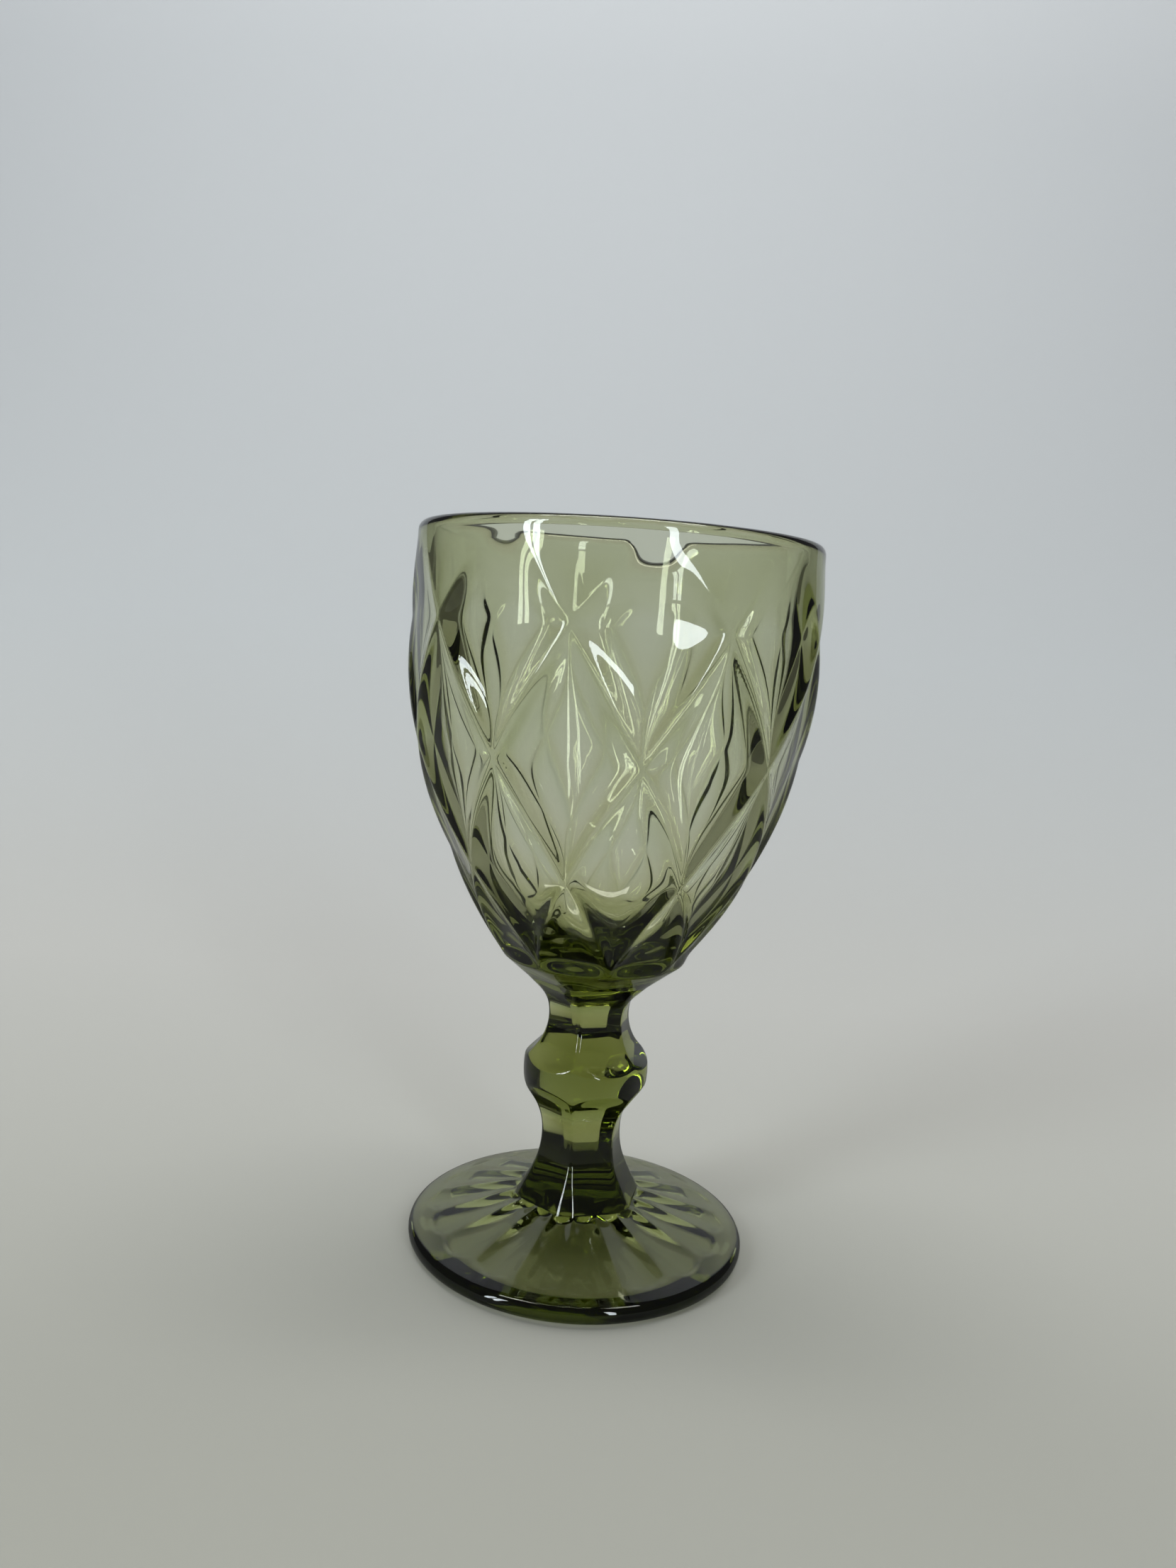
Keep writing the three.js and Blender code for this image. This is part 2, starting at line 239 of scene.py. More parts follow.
class FootSizes(bpy.types.PropertyGroup):
    """Sizes of the foot"""

    radius: bpy.props.FloatProperty(
        name="Radius", description="Outer radius of the foot", default=40.25 * MM, unit="LENGTH"
    )
    edge_radius: bpy.props.FloatProperty(
        name="Edge radius", description="Radius of the rounded edge's section",
        default=2.2 * MM, unit="LENGTH",
    )
    resting_width: bpy.props.FloatProperty(
        name="Resting ring", description="Width of the flat ring underneath", default=6.5 * MM, unit="LENGTH"
    )
    hollow_depth: bpy.props.FloatProperty(
        name="Hollow depth", description="Depth of the hollow underneath", default=4.5 * MM, unit="LENGTH"
    )
    collar_radius: bpy.props.FloatProperty(
        name="Collar radius", description="Ridge distance where the flutes start",
        default=15.2 * MM, unit="LENGTH",
    )
    collar_drop: bpy.props.FloatProperty(
        name="Collar drop", description="The collar's edge below the seam", default=0.4 * MM, unit="LENGTH"
    )
    flutes: bpy.props.IntProperty(name="Flutes", description="Number of flutes", default=18)
    flute_depth: bpy.props.FloatProperty(
        name="Flute depth", description="Depth of each flute halfway along", default=0.58 * MM, unit="LENGTH"
    )
    flute_taper: bpy.props.FloatProperty(
        name="Flute taper", description="How much deeper a flute starts, and how much shallower it ends",
        default=0.2, subtype="FACTOR",
    )
    rim_ring: bpy.props.FloatProperty(
        name="Edge ring", description="Width of the plain ring outside the flutes",
        default=4.2 * MM, unit="LENGTH",
    )
    scallop: bpy.props.FloatProperty(
        name="Scallop", description="How much further a flute reaches than the crests beside it",
        default=1.7 * MM, unit="LENGTH",
    )
    flute_start: bpy.props.FloatProperty(
        name="Flute start", description="Length over which a flute starts at the collar",
        default=1.2 * MM, unit="LENGTH",
    )
    flute_end: bpy.props.FloatProperty(
        name="Flute end", description="Length over which a flute ends at the edge ring",
        default=1.0 * MM, unit="LENGTH",
    )
    crest_softness: bpy.props.FloatProperty(
        name="Crest softness", description="Half-width of the rounded crests, as a share of a flute",
        default=0.06, subtype="FACTOR",
    )


class StageSetup(bpy.types.PropertyGroup):
    """Camera, sweep and lamps"""

    camera_azimuth: bpy.props.FloatProperty(
        name="Camera azimuth", description="From -Y towards +X", default=math.radians(11.0), subtype="ANGLE"
    )
    camera_distance: bpy.props.FloatProperty(
        name="Camera distance", description="From the goblet's axis", default=273.93 * MM, unit="LENGTH"
    )
    camera_height: bpy.props.FloatProperty(
        name="Camera height", description="Above the surface", default=144.83 * MM, unit="LENGTH"
    )
    camera_turn: bpy.props.FloatProperty(
        name="Camera turn", description="To the left of the axis",
        default=math.radians(0.832), subtype="ANGLE",
    )
    camera_dip: bpy.props.FloatProperty(
        name="Camera dip", description="Below the horizon", default=math.radians(7.081), subtype="ANGLE"
    )
    camera_roll: bpy.props.FloatProperty(
        name="Camera roll", description="Anticlockwise roll of the camera",
        default=math.radians(3.864), subtype="ANGLE",
    )
    focal_pixels: bpy.props.FloatProperty(
        name="Focal length", description="In pixels of a picture 2212 pixels high", default=1669.4
    )
    # The sweep's four colours paint its light and shade as a gradient: painted light high on the wall,
    # painted shade on the floor near the camera
    wall_top_painted_light: bpy.props.FloatVectorProperty(
        name="Wall top", description="Colour high on the sweep's wall", size=3, subtype="COLOR",
        default=(0.76, 0.78, 0.80),
    )
    wall_colour: bpy.props.FloatVectorProperty(
        name="Wall", description="Colour low on the sweep's wall", size=3, subtype="COLOR",
        default=(0.60, 0.62, 0.625),
    )
    floor_colour: bpy.props.FloatVectorProperty(
        name="Floor", description="Colour of the sweep's floor behind the goblet", size=3, subtype="COLOR",
        default=(0.465, 0.46, 0.435),
    )
    # Painted shade: the floor darkened near the camera
    front_painted_shade: bpy.props.FloatVectorProperty(
        name="Front", description="Colour of the sweep's floor near the camera", size=3, subtype="COLOR",
        default=(0.34, 0.336, 0.296),
    )
    room_light: bpy.props.FloatProperty(
        name="Room", description="Strength of the room as the glass mirrors it, and near the horizon",
        default=0.08,
    )
    background_light: bpy.props.FloatProperty(
        name="Background",
        description="How pale the room looks past the sweep, straight or through the glass",
        default=0.55,
    )
    ceiling_light: bpy.props.FloatProperty(
        name="Ceiling", description="Strength of the room's light where it is brightest", default=2.0
    )
    ceiling_lean: bpy.props.FloatProperty(
        name="Ceiling lean",
        description="How far the brightest part leans from overhead to behind the goblet",
        default=math.radians(58.0), subtype="ANGLE",
    )
    window_light: bpy.props.FloatProperty(
        name="Windows", description="Power of each window pane behind the camera", default=6.6, unit="POWER"
    )
    window_height: bpy.props.FloatProperty(
        name="Window height", description="Height of each window pane", default=1.1, unit="LENGTH"
    )
    wall_light: bpy.props.FloatProperty(
        name="Wall wash", description="Power of the lamp that lights the wall", default=15.0, unit="POWER"
    )


def start_fresh():
    """Nothing is selected and no mesh is open for editing"""
    if bpy.context.object is not None and bpy.context.object.mode != "OBJECT":
        bpy.ops.object.mode_set(mode="OBJECT")
    bpy.ops.object.select_all(action="DESELECT")


def profile_line(name, strokes):
    """A mesh line of radius and height, from Bezier strokes of four points, each with its number of steps"""
    start_fresh()
    bpy.ops.curve.primitive_bezier_curve_add()
    line = bpy.context.object
    line.name = name
    line.data.splines.clear()
    for points, steps in strokes:
        spline = line.data.splines.new("BEZIER")
        spline.resolution_u = steps
        spline.bezier_points.add(1)
        start, end = spline.bezier_points
        for point in (start, end):
            point.handle_left_type = point.handle_right_type = "FREE"
        corners = [Vector((radius, 0.0, height)) for radius, height in points]
        start.co, start.handle_left, start.handle_right = corners[0], corners[0], corners[1]
        end.co, end.handle_left, end.handle_right = corners[3], corners[2], corners[3]
    bpy.ops.object.convert(target="MESH")
    return bpy.context.object


def merge_doubles():
    """Merges the points of the active mesh that lie on each other"""
    bpy.ops.object.mode_set(mode="EDIT")
    bpy.ops.mesh.select_all(action="SELECT")
    bpy.ops.mesh.remove_doubles(threshold=SMALLEST)
    bpy.ops.object.mode_set(mode="OBJECT")


def turned(name, strokes, steps):
    """A closed body of revolution from strokes that run from the axis back to the axis"""
    piece = profile_line(name, strokes)
    merge_doubles()
    turn = piece.modifiers.new("turn", "SCREW")
    turn.axis = "Z"
    turn.steps = turn.render_steps = steps
    turn.use_merge_vertices = True
    turn.merge_threshold = SMALLEST
    bpy.ops.object.modifier_apply(modifier="turn")
    merge_doubles()
    bpy.ops.object.mode_set(mode="EDIT")
    bpy.ops.mesh.select_all(action="SELECT")
    bpy.ops.mesh.normals_make_consistent(inside=False)
    bpy.ops.object.mode_set(mode="OBJECT")
    return piece


def straight(start, end):
    """The four points of a straight stroke"""
    start, end = np.array(start), np.array(end)
    return [tuple(start), tuple(start + (end - start) / 3), tuple(end - (end - start) / 3), tuple(end)]


def arc(centre, radius, start, sweep, tall=None):
    """The four points of an arc of a quarter or less from an angle on, of a circle or an upright ellipse"""
    handle = 4 / 3 * math.tan(sweep / 4) * radius
    stretch = (tall or radius) / radius
    points = []
    for angle, side in ((start, 0), (start, 1), (start + sweep, -1), (start + sweep, 0)):
        points.append(
            (
                centre[0] + radius * math.cos(angle) - side * handle * math.sin(angle),
                centre[1] + stretch * (radius * math.sin(angle) + side * handle * math.cos(angle)),
            )
        )
    return points


def stroke_points(points, count=200):
    """Points along a Bezier stroke, as an array of radius and height"""
    share = np.linspace(0, 1, count)[:, None]
    rest = 1 - share
    a, b, c, d = (np.array(point) for point in points)
    return rest**3 * a + 3 * rest**2 * share * b + 3 * rest * share**2 * c + share**3 * d


def eased(value, low, high):
    """0 below low, 1 above high and a smooth rise between"""
    share = np.clip((value - low) / (high - low), 0, 1)
    return share * share * (3 - 2 * share)


def ridged(angle, roundness, sides=6):
    """Distance from the axis to a rounded polygon whose ridges stand 1 away, one of them at angle 0"""
    half = math.pi / sides
    past_ridge = np.abs(angle - 2 * half * np.round(angle / (2 * half)))
    centre = 1 - roundness
    flat_start = np.arctan2(roundness * math.sin(half), centre + roundness * math.cos(half))
    flat = (centre * math.cos(half) + roundness) / np.cos(half - past_ridge)
    across = centre * np.sin(np.minimum(past_ridge, flat_start))
    corner = centre * np.cos(past_ridge) + np.sqrt(roundness**2 - across**2)
    return np.where(past_ridge >= flat_start, flat, corner)


def smaller(first, second, blend):
    """The smaller of two lengths, rounded where they differ by less than the blend"""
    overlap = np.maximum(blend - np.abs(first - second), 0) / blend
    return np.minimum(first, second) - overlap * overlap * blend / 4


def from_ridge(place, softness):
    """Distance to the nearest whole number, rounded at the number itself"""
    distance = np.abs(place - np.round(place))
    return np.sqrt(distance**2 + softness**2) - softness


def press(piece, shape):
    """Moves a turned piece's points: shape takes angle, radius and height, and gives radius and height"""
    mesh = piece.data
    points = np.empty(len(mesh.vertices) * 3)
    mesh.vertices.foreach_get("co", points)
    points = points.reshape(-1, 3)
    angle = np.arctan2(points[:, 0], -points[:, 1])
    radius, height = shape(angle, np.hypot(points[:, 0], points[:, 1]), points[:, 2])
    pressed = np.stack([radius * np.sin(angle), -radius * np.cos(angle), height], axis=1)
    mesh.vertices.foreach_set("co", pressed.ravel())
    mesh.update()


def finish_piece(piece, node, seams):
    """Shades a piece, marks the faces on its seams, and lets it stand for its node"""
    start_fresh()
    piece.select_set(True)
    bpy.context.view_layer.objects.active = piece
    bpy.ops.object.shade_smooth_by_angle(angle=SMOOTH_ANGLE)
    mesh = piece.data
    mesh.materials.clear()
    mesh.materials.append(green_glass())
    centres = np.empty(len(mesh.polygons) * 3)
    mesh.polygons.foreach_get("center", centres)
    heights = centres.reshape(-1, 3)[:, 2]
    on_seam = np.zeros(len(heights), np.float32)
    for seam in seams:
        on_seam[np.abs(heights - seam) < ON_SEAM] = 1
    mark = mesh.attributes.new("seam", "FLOAT", "FACE")
    mark.data.foreach_set("value", on_seam)
    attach(piece, "root")
    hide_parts(node)


def press_waves():
    """Node group: the faint waves that a mould leaves in glass, as a normal"""
    name = "press waves"
    group = bpy.data.node_groups.get(name)
    if group is not None:
        return group
    group = bpy.data.node_groups.new(name, "ShaderNodeTree")
    group.interface.new_socket("Strength", in_out="INPUT", socket_type="NodeSocketFloat")
    group.interface.new_socket("Normal", in_out="OUTPUT", socket_type="NodeSocketVector")
    nodes, links = group.nodes, group.links
    inlet = nodes.new("NodeGroupInput")
    outlet = nodes.new("NodeGroupOutput")
    place = nodes.new("ShaderNodeTexCoord")
    noise = nodes.new("ShaderNodeTexNoise")
    noise.inputs["Scale"].default_value = WAVES_PER_METRE
    noise.inputs["Detail"].default_value = 1.0
    bump = nodes.new("ShaderNodeBump")
    bump.inputs["Distance"].default_value = WAVE_HEIGHT
    links.new(place.outputs["Object"], noise.inputs["Vector"])
    links.new(noise.outputs["Fac"], bump.inputs["Height"])
    links.new(inlet.outputs["Strength"], bump.inputs["Strength"])
    links.new(bump.outputs["Normal"], outlet.inputs["Normal"])
    return group


def green_glass():
    """Glass that takes its olive green from its thickness; light passes its hidden seam faces unbent"""
    name = "green_glass"
    if name in bpy.data.materials:
        return bpy.data.materials[name]
    finish = bpy.context.scene.goblet_glass
    material = bpy.data.materials.new(name)
    material.use_nodes = True
    nodes, links = material.node_tree.nodes, material.node_tree.links
    glass = nodes["Principled BSDF"]
    glass.inputs["Base Color"].default_value = (1, 1, 1, 1)
    glass.inputs["Roughness"].default_value = 0.0
    glass.inputs["Transmission Weight"].default_value = 1.0
    absorption = nodes.new("ShaderNodeVolumeAbsorption")
    # Keeps each part of the absorption's colour above 0
    headroom = 1.25
    density = headroom * max(finish.absorbed)
    absorption.inputs["Color"].default_value = (*[1 - rate / density for rate in finish.absorbed], 1)
    absorption.inputs["Density"].default_value = density
    links.new(absorption.outputs["Volume"], nodes["Material Output"].inputs["Volume"])
    seam = nodes.new("ShaderNodeAttribute")
    seam.attribute_name = "seam"
    bending = nodes.new("ShaderNodeMapRange")
    bending.inputs["To Min"].default_value = finish.ior
    bending.inputs["To Max"].default_value = 1.0
    links.new(seam.outputs["Fac"], bending.inputs["Value"])
    links.new(bending.outputs["Result"], glass.inputs["IOR"])
    waves = nodes.new("ShaderNodeGroup")
    waves.node_tree = press_waves()
    waves.inputs["Strength"].default_value = finish.waviness
    links.new(waves.outputs["Normal"], glass.inputs["Normal"])
    return material


class GOBLET_OT_foot(bpy.types.Operator):
    """Adds the fluted foot"""

    bl_idname = "goblet.foot"
    bl_label = "Foot"

    STEPS_PER_FLUTE = 20
    # Share of the edge's radius that its upper Bezier handles reach
    EDGE_HANDLE = 0.5
    # How far the row under the seam leans out, as a share of its height
    ROW_LEAN = 0.4
    # How far below the top's outer end a point still belongs to the top
    TOP_MARGIN = 0.05 * MM
    # Where, outside the collar, its six ridges start to fade, and where they are gone
    RIDGE_FADE = (0.2 * MM, 3 * MM)

    def execute(self, context):
        sizes = context.scene.goblet_foot
        stem = context.scene.goblet_stem
        seam = cap_levels("foot")[1]
        edge_centre = (sizes.radius - sizes.edge_radius, sizes.edge_radius)
        hollow = edge_centre[0] - sizes.resting_width
        hollow_arc = (hollow**2 + sizes.hollow_depth**2) / (2 * sizes.hollow_depth)
        hollow_turn = math.asin(hollow / hollow_arc)
        collar = (sizes.collar_radius, seam - sizes.collar_drop)
        slope = math.atan2(collar[1] - 2 * sizes.edge_radius, edge_centre[0] - collar[0])
        top = (
            edge_centre[0] + sizes.edge_radius * math.sin(slope),
            edge_centre[1] + sizes.edge_radius * math.cos(slope),
        )
        handle = self.EDGE_HANDLE * sizes.edge_radius
        edge_top = [
            (sizes.radius, sizes.edge_radius),
            (sizes.radius, sizes.edge_radius + handle),
            (top[0] + handle * math.cos(slope), top[1] - handle * math.sin(slope)),
            top,
        ]
        last = (stem.foot_seam_radius + self.ROW_LEAN * SEAM_ROW, seam - SEAM_ROW)
        strokes = [
            (arc((0, sizes.hollow_depth - hollow_arc), hollow_arc, math.pi / 2, -hollow_turn), 24),
            (straight((hollow, 0), (edge_centre[0], 0)), 6),
            (arc(edge_centre, sizes.edge_radius, -math.pi / 2, math.pi / 2), 10),
            (edge_top, 9),
            (straight(top, collar), 64),
            (straight(collar, last), 3),
            (straight(last, (stem.foot_seam_radius, seam)), 1),
            (straight((stem.foot_seam_radius, seam), (0, seam)), CAP_STEPS),
        ]
        piece = turned("foot_glass", strokes, self.STEPS_PER_FLUTE * sizes.flutes)
        end_radius = sizes.radius - sizes.rim_ring
        fade_start, fade_end = self.RIDGE_FADE

        def shape(angle, radius, height):
            across = angle * sizes.flutes / (2 * math.pi)
            share = from_ridge(across + 0.5, sizes.crest_softness)
            hollowed = 4 * share * (1 - share)
            end = end_radius - sizes.scallop * (1 - hollowed)
            fade = eased(end - radius, 0, sizes.flute_end) * eased(radius - collar[0], 0, sizes.flute_start)
            along = (radius - collar[0]) / (end_radius - collar[0])
            depth = sizes.flute_depth * (1 + sizes.flute_taper * (1 - 2 * along))
            on_top = height > top[1] - self.TOP_MARGIN
            height = height - depth * hollowed * fade * on_top
            towards_collar = 1 - eased(radius, collar[0] + fade_start, collar[0] + fade_end)
            section = 1 + (ridged(angle, stem.flared_roundness) - 1) * towards_collar * on_top
            return radius * section, height

        press(piece, shape)
        finish_piece(piece, "foot", [seam])
        return {"FINISHED"}


def stem_stretch(name, node, strokes, roundness_at):
    """A six-ridged stretch of the stem, from strokes along its ridges"""
    first, last = strokes[0][0][0], strokes[-1][0][3]
    floor = (straight((0, first[1]), first), CAP_STEPS)
    top = (straight(last, (0, last[1])), CAP_STEPS)
    piece = turned(name, [floor, *strokes, top], ROUND_STEPS)
    press(piece, lambda angle, radius, height: (radius * ridged(angle, roundness_at(height)), height))
    finish_piece(piece, node, cap_levels(node))


def with_seam_row(points, steps, at_start, at_end):
    """A stroke with a narrow row at the ends that lie on a seam, which keeps the shading true there"""
    a, b, c, d = (np.array(point) for point in points)
    strokes = []
    if at_start:
        inner = a + (b - a) / np.linalg.norm(b - a) * SEAM_ROW
        strokes.append((straight(a, inner), 1))
        a = inner
    strokes.append(([tuple(a), tuple(b), tuple(c), tuple(d)], steps))
    if at_end:
        inner = d + (c - d) / np.linalg.norm(c - d) * SEAM_ROW
        strokes[-1] = ([tuple(a), tuple(b), tuple(c), tuple(inner)], steps)
        strokes.append((straight(inner, d), 1))
    return strokes


class GOBLET_OT_lower_stem(bpy.types.Operator):
    """Adds the stem's lower stretch, a six-sided trumpet"""

    bl_idname = "goblet.lower_stem"
    bl_label = "Lower stem"

    # Shares of the flare and of the waist's height that the Bezier handle at the foot reaches
    FOOT_HANDLE = (0.45, 0.32)
    # Share of the waist's height that the handle at the waist reaches down
    WAIST_HANDLE = 0.45
    # The ridges are at their crispest from here up, in waist heights below the waist
    CRISP_FROM = 0.3

    def execute(self, context):
        stem = context.scene.goblet_stem
        floor, top = cap_levels("lower_stem")
        waist = floor + stem.lower_waist_height
        flare = stem.foot_seam_radius - stem.lower_waist_radius
        inwards, upwards = self.FOOT_HANDLE
        strokes = with_seam_row(
            [
                (stem.foot_seam_radius, floor),
                (stem.foot_seam_radius - inwards * flare, floor + upwards * stem.lower_waist_height),
                (stem.lower_waist_radius, waist - self.WAIST_HANDLE * stem.lower_waist_height),
                (stem.lower_waist_radius, waist),
            ],
            44, True, False,
        ) + with_seam_row(
            arc(
                (stem.lower_waist_radius + stem.lower_scoop, waist),
                stem.lower_scoop,
                math.pi,
                -math.asin((top - waist) / stem.lower_scoop),
            ),
            14, False, True,
        )

        def roundness_at(height):
            share = eased(height, floor, waist - self.CRISP_FROM * stem.lower_waist_height)
            return stem.flared_roundness + (stem.roundness - stem.flared_roundness) * share

        stem_stretch("lower_stem_glass", "lower_stem", strokes, roundness_at)
        return {"FINISHED"}


class GOBLET_OT_knop(bpy.types.Operator):
    """Adds the knop, a round form cut by the six-sided scoops that rise from the two waists"""

    bl_idname = "goblet.knop"
    bl_label = "Knop"

    # Levels of the outline between the narrow rows at its seams
    LEVELS = 81

    def execute(self, context):
        stem = context.scene.goblet_stem
        floor, top = cap_levels("knop")
        middle = floor + stem.knop_height
        lower_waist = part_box("lower_stem")[0].z + stem.lower_waist_height
        upper_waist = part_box("upper_stem")[0].z + stem.upper_waist_height

        def ball(height):
            """Radius of the round form"""
            share = (height - middle) / stem.knop_half_length
            return stem.knop_radius * np.sqrt(1 - share**2)

        def scoop(height):
            """Distance to the ridges that the two scoops leave"""
            below = np.abs(height - lower_waist)
            above = np.abs(upper_waist - height)
            lower = stem.lower_scoop - np.sqrt(np.maximum(stem.lower_scoop**2 - below**2, 0))
            upper = stem.upper_scoop - np.sqrt(np.maximum(stem.upper_scoop**2 - above**2, 0))
            return np.minimum(stem.lower_waist_radius + lower, stem.upper_waist_radius + upper)

        def shape(angle, radius, height):
            cut = scoop(height) * ridged(angle, stem.roundness)
            return radius / ball(height) * smaller(ball(height), cut, stem.knop_blend), height

        levels = np.linspace(floor + SEAM_ROW, top - SEAM_ROW, self.LEVELS)
        outline = [(float(ball(floor)), floor)]
        outline += [(float(ball(level)), float(level)) for level in levels]
        outline += [(float(ball(top)), top)]
        strokes = [(straight((0, floor), outline[0]), CAP_STEPS)]
        strokes += [(straight(start, end), 1) for start, end in zip(outline, outline[1:])]
        strokes += [(straight(outline[-1], (0, top)), CAP_STEPS)]
        piece = turned("knop_glass", strokes, ROUND_STEPS)
        press(piece, shape)
        finish_piece(piece, "knop", [floor, top])
        return {"FINISHED"}


class GOBLET_OT_upper_stem(bpy.types.Operator):
    """Adds the stem's upper stretch, which flares out under the bowl"""

    bl_idname = "goblet.upper_stem"
    bl_label = "Upper stem"

    # Share of the rise that the Bezier handle at the waist reaches
    WAIST_HANDLE = 0.52
    # Shares of the flare and the rise that the handle at the bowl reaches
    BOWL_HANDLE = (0.55, 0.32)

    def execute(self, context):
        stem = context.scene.goblet_stem
        bowl = context.scene.goblet_bowl
        floor, top = cap_levels("upper_stem")
        waist = floor + stem.upper_waist_height
        rise = top - waist
        flare = bowl.seam_radius - stem.upper_waist_radius
        inwards, downwards = self.BOWL_HANDLE
        dip = math.asin((waist - floor) / stem.upper_scoop)
        strokes = with_seam_row(
            arc((stem.upper_waist_radius + stem.upper_scoop, waist), stem.upper_scoop, math.pi + dip, -dip),
            12, True, False,
        ) + with_seam_row(
            [
                (stem.upper_waist_radius, waist),
                (stem.upper_waist_radius, waist + self.WAIST_HANDLE * rise),
                (bowl.seam_radius - inwards * flare, top - downwards * rise),
                (bowl.seam_radius, top),
            ],
            34, False, True,
        )

        def roundness_at(height):
            return stem.roundness + (stem.flared_roundness - stem.roundness) * eased(height, waist, top)

        stem_stretch("upper_stem_glass", "upper_stem", strokes, roundness_at)
        return {"FINISHED"}


class GOBLET_OT_bowl(bpy.types.Operator):
    """Adds the bowl with its raised diamond lattice"""

    bl_idname = "goblet.bowl"
    bl_label = "Bowl"

    # Diamonds round the bowl, and the levels where its ridges cross, from the shoulder, 0, to the rim, 1
    REPEATS = 9
    CROSSINGS = (0.025, 0.238, 0.503, 0.784)
    STEPS_PER_REPEAT = 56
    # Shares of the lower wall's reach and rise that the Bezier handle at the shoulder takes
    SHOULDER_HANDLE = (0.515, 0.25)
    # Shares of the lower and the upper wall's rise that the handles at the belly take
    BELLY_HANDLES = (0.415, 0.5)
    # Share of the upper wall's rise that the handle at the lip takes
    LIP_HANDLE = 0.25
    # How far inside the outer line, and below the shoulder, a point still belongs to the outer wall
    WALL_MARGIN = 0.4 * MM
    SHOULDER_MARGIN = 0.01 * MM
    # Least slope of a dish, above 0 for its negative power, and greatest roundness of a section, below 1
    LEAST_SLOPE = 1e-6
    ROUNDEST = 0.9999

    def execute(self, context):
        sizes = context.scene.goblet_bowl
        stem = context.scene.goblet_stem
        base, rim = seam_levels("bowl")
        seam = cap_levels("bowl")[0]
        shoulder = base + sizes.shoulder_height
        belly = base + sizes.belly_height
        rise = belly - shoulder
        lip = sizes.rim_wall / 2
        lip_level = rim - sizes.lip_height
        floor = base + sizes.base_thickness
        reach = sizes.belly_radius - sizes.shoulder_radius
        upper_rise = lip_level - belly
        outwards, upwards = self.SHOULDER_HANDLE
        under_belly, over_belly = self.BELLY_HANDLES
        lower_wall = [
            (sizes.shoulder_radius, shoulder),
            (sizes.shoulder_radius + outwards * reach, shoulder + upwards * rise),
            (sizes.belly_radius, belly - under_belly * rise),
            (sizes.belly_radius, belly),
        ]
        upper_wall = [
            (sizes.belly_radius, belly),
            (sizes.belly_radius, belly + over_belly * upper_rise),
            (sizes.rim_radius, belly + (1 - self.LIP_HANDLE) * upper_rise),
            (sizes.rim_radius, lip_level),
        ]
        inner_rim = sizes.rim_radius - sizes.rim_wall
        inner_belly = sizes.belly_radius - sizes.belly_wall
        lip_centre = (sizes.rim_radius - lip, lip_level)
        cone = straight((sizes.seam_radius, seam), (sizes.shoulder_radius, shoulder))
        strokes = [
            (straight((0, seam), (sizes.seam_radius, seam)), CAP_STEPS),
            *with_seam_row(cone, 10, True, False),
            (lower_wall, 98),
            (upper_wall, 30),
            (arc(lip_centre, lip, 0, math.pi / 2, sizes.lip_height), 6),
            (arc(lip_centre, lip, math.pi / 2, math.pi / 2, sizes.lip_height), 6),
            (
                [
                    (inner_rim, lip_level),
                    (inner_rim, lip_level - self.LIP_HANDLE * upper_rise),
                    (inner_belly, belly + over_belly * upper_rise),
                    (inner_belly, belly),
                ],
                6,
            ),
            (
                [
                    (inner_belly, belly),
                    (inner_belly, belly - sizes.cup_drop * (belly - floor)),
                    (sizes.cup_width * inner_belly, floor),
                    (0, floor),
                ],
                26,
            ),
        ]
        piece = turned("bowl_glass", strokes, self.STEPS_PER_REPEAT * self.REPEATS)
        outline = np.concatenate([stroke_points(lower_wall), stroke_points(upper_wall)])
        crossings = shoulder + np.array(self.CROSSINGS) * (rim - shoulder)
        above = crossings[-1] + (crossings[-1] - crossings[-2])
        levels = np.append(crossings, above)
        flank = sizes.flank_width
        corner = sizes.dish_corner
        middle = 0.5
        full = 1 - math.exp(-middle / flank)

        def slope(place):
            """How far a dish has sunk at a place between ridges, 0 on a ridge and 1 at a cell's middle"""
            sunk = 1 - np.exp(-from_ridge(place, sizes.ridge_softness) / flank)
            return np.maximum(sunk, self.LEAST_SLOPE) / full

        def shape(angle, radius, height):
            wall = np.interp(height, outline[:, 1], outline[:, 0])
            outside = (radius > wall - self.WALL_MARGIN) & (height > shoulder - self.SHOULDER_MARGIN)
            climb = np.interp(height, levels, np.arange(len(levels)))
            across = angle * self.REPEATS / math.pi + 1
            first, second = slope((across + climb) / 2), slope((across - climb) / 2)
            hollow = ((first**-corner + second**-corner) / 2) ** (-1 / corner)
            row = np.floor((across + climb) / 2) - np.floor((across - climb) / 2)
            hollow = hollow * (row < len(self.CROSSINGS))
            band = rim - sizes.band_height
            fade = eased(height, shoulder, shoulder + sizes.lower_fade)
            fade = fade * (1 - eased(height, band - sizes.upper_fade, band))
            share = np.clip((height - seam) / (shoulder - seam), 0, 1)
            roundness = stem.flared_roundness + (1 - stem.flared_roundness) * share
            section = np.where(height < shoulder, ridged(angle, np.minimum(roundness, self.ROUNDEST)), 1)
            return radius * section - sizes.lattice_depth * hollow * fade * outside, height

        press(piece, shape)
        finish_piece(piece, "bowl", [seam])
        return {"FINISHED"}


